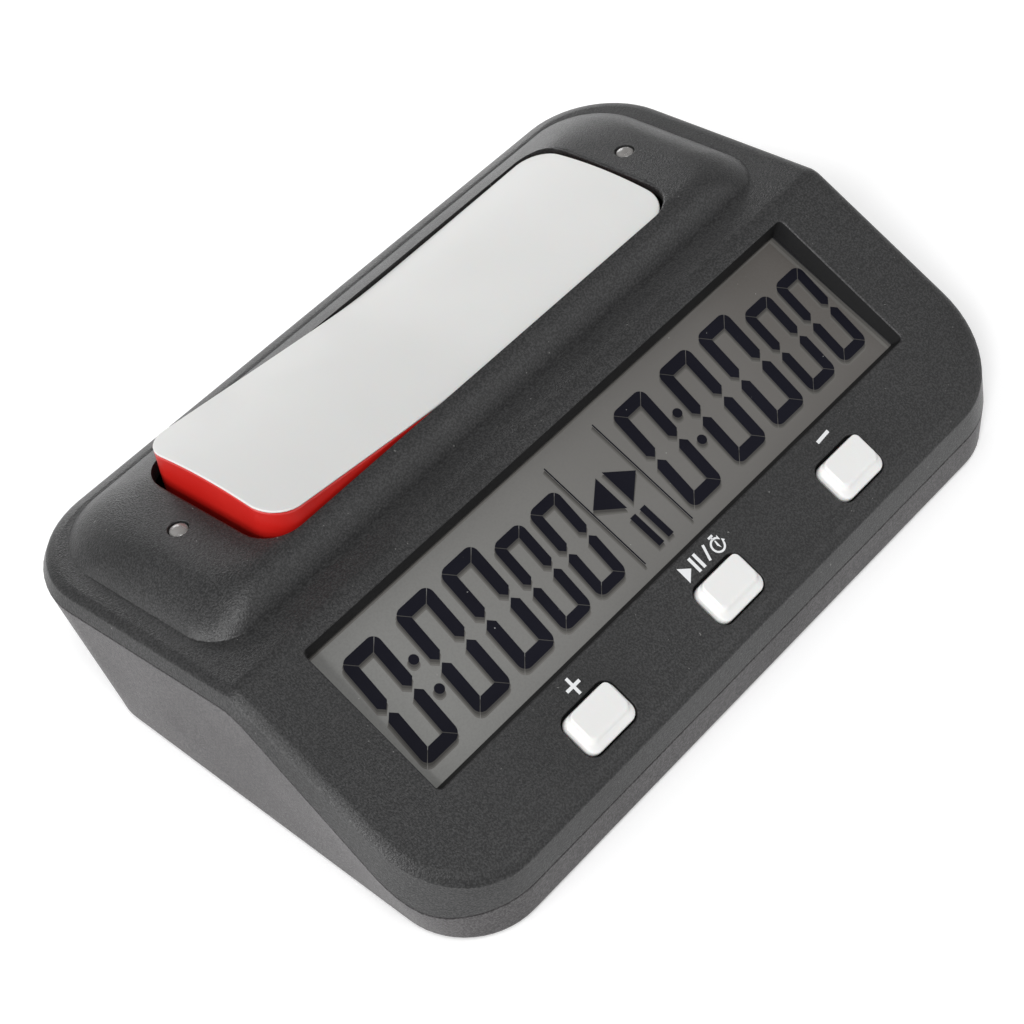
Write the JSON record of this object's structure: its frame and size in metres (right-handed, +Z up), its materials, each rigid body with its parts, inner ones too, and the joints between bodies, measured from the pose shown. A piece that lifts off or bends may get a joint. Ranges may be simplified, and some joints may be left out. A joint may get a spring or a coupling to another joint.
{
  "type": "digital chess clock",
  "caption": "Digital chess clock: two-wing rocker on a raised deck, sloping segment display for two times, keys for setting and pausing, and a battery bay underneath.",
  "frame": {"origin": "on the table under the middle of the clock's bounding box", "axes": "+X to the right of a player facing the display, +Y from the keys towards the rocker, +Z up"},
  "size_m": [0.155, 0.1034, 0.0446],
  "materials": {
    "charcoal_case": "fine matte texture",
    "white_cap": "satin",
    "red_rocker": "semi-gloss",
    "display_glass": "clear",
    "reflector_film": "satin grey film",
    "inner_plastic": "moulded",
    "circuit_board": "solder mask",
    "steel": "bright",
    "rubber": "matt",
    "led_lens": "diffused clear",
    "battery_wrap": "shrink film",
    "wire_red": "insulation",
    "wire_black": "insulation",
    "ribbon_grey": "flat cable"
  },
  "bodies": {
    "case": {"battery_1": "battery_wrap", "battery_2": "battery_wrap", "battery_spring_1": "steel", "battery_spring_2": "steel", "battery_wire_negative": "wire_black", "battery_wire_positive": "wire_red", "buzzer": "inner_plastic", "case_screw_1": "steel", "case_screw_2": "steel", "case_screw_3": "steel", "case_screw_4": "steel", "contact_link": "steel", "contact_negative": "steel", "contact_positive": "steel", "controller_chip": "inner_plastic", "foot_1": "rubber", "foot_2": "rubber", "foot_3": "rubber", "foot_4": "rubber", "lcd_cell": "display_glass", "lcd_holder": "inner_plastic", "lcd_reflector": "reflector_film", "led_left": "led_lens", "led_right": "led_lens", "lower_case": "charcoal_case", "main_board": "circuit_board", "main_board_screw_1": "steel", "main_board_screw_2": "steel", "main_board_screw_3": "steel", "main_board_screw_4": "steel", "ribbon_cable": "ribbon_grey", "rocker_axle": "steel", "rocker_board": "circuit_board", "rocker_board_screw_left": "steel", "rocker_board_screw_right": "steel", "rocker_detent_spring": "steel", "rocker_switch_left": "inner_plastic", "rocker_switch_right": "inner_plastic", "switch_minus": "inner_plastic", "switch_play_pause": "inner_plastic", "switch_plus": "inner_plastic", "upper_case": "charcoal_case", "zebra_strip": "rubber"},
    "rocker": {"rocker_cap": "white_cap", "rocker_body": "red_rocker"},
    "plus_key": {"button_plus": "white_cap", "switch_plunger_plus": "rubber"},
    "play_pause_key": {"button_play_pause": "white_cap", "switch_plunger_play_pause": "rubber"},
    "minus_key": {"button_minus": "white_cap", "switch_plunger_minus": "rubber"},
    "plunger_left": {"rocker_plunger_left": "rubber"},
    "plunger_right": {"rocker_plunger_right": "rubber"},
    "battery_door": {"battery_cover": "charcoal_case"}
  },
  "joints": [
    {"name": "rocker_tilt", "type": "hinge", "parent": "case", "child": "rocker", "pos_m": [0, 0.02448, 0.03017], "axis": [0, -0.9911, 0.1335], "range_deg": [0, 6]},
    {"name": "plunger_right_slide", "type": "slide", "parent": "case", "child": "plunger_right", "axis": [0, 0.1335, 0.9911], "range_m": [0, 0.0009]},
    {"name": "plunger_left_slide", "type": "slide", "parent": "case", "child": "plunger_left", "axis": [0, 0.1335, 0.9911], "range_m": [-0.0009, 0]},
    {"name": "plus_press", "type": "slide", "parent": "case", "child": "plus_key", "axis": [0, 0.4337, -0.9011], "range_m": [0, 0.0008], "stiffness_N_per_m": 600, "springref_m": -0.0008},
    {"name": "play_pause_press", "type": "slide", "parent": "case", "child": "play_pause_key", "axis": [0, 0.4337, -0.9011], "range_m": [0, 0.0008], "stiffness_N_per_m": 600, "springref_m": -0.0008},
    {"name": "minus_press", "type": "slide", "parent": "case", "child": "minus_key", "axis": [0, 0.4337, -0.9011], "range_m": [0, 0.0008], "stiffness_N_per_m": 600, "springref_m": -0.0008},
    {"name": "battery_cover_slide", "type": "slide", "parent": "case", "child": "battery_door", "axis": [0, 1, 0], "range_m": [0, 0.03]}
  ],
  "couplings": [
    {"joint": "plunger_right_slide", "follows": "rocker_tilt", "m_per_rad": 0.0083},
    {"joint": "plunger_left_slide", "follows": "rocker_tilt", "m_per_rad": -0.0083}
  ]
}
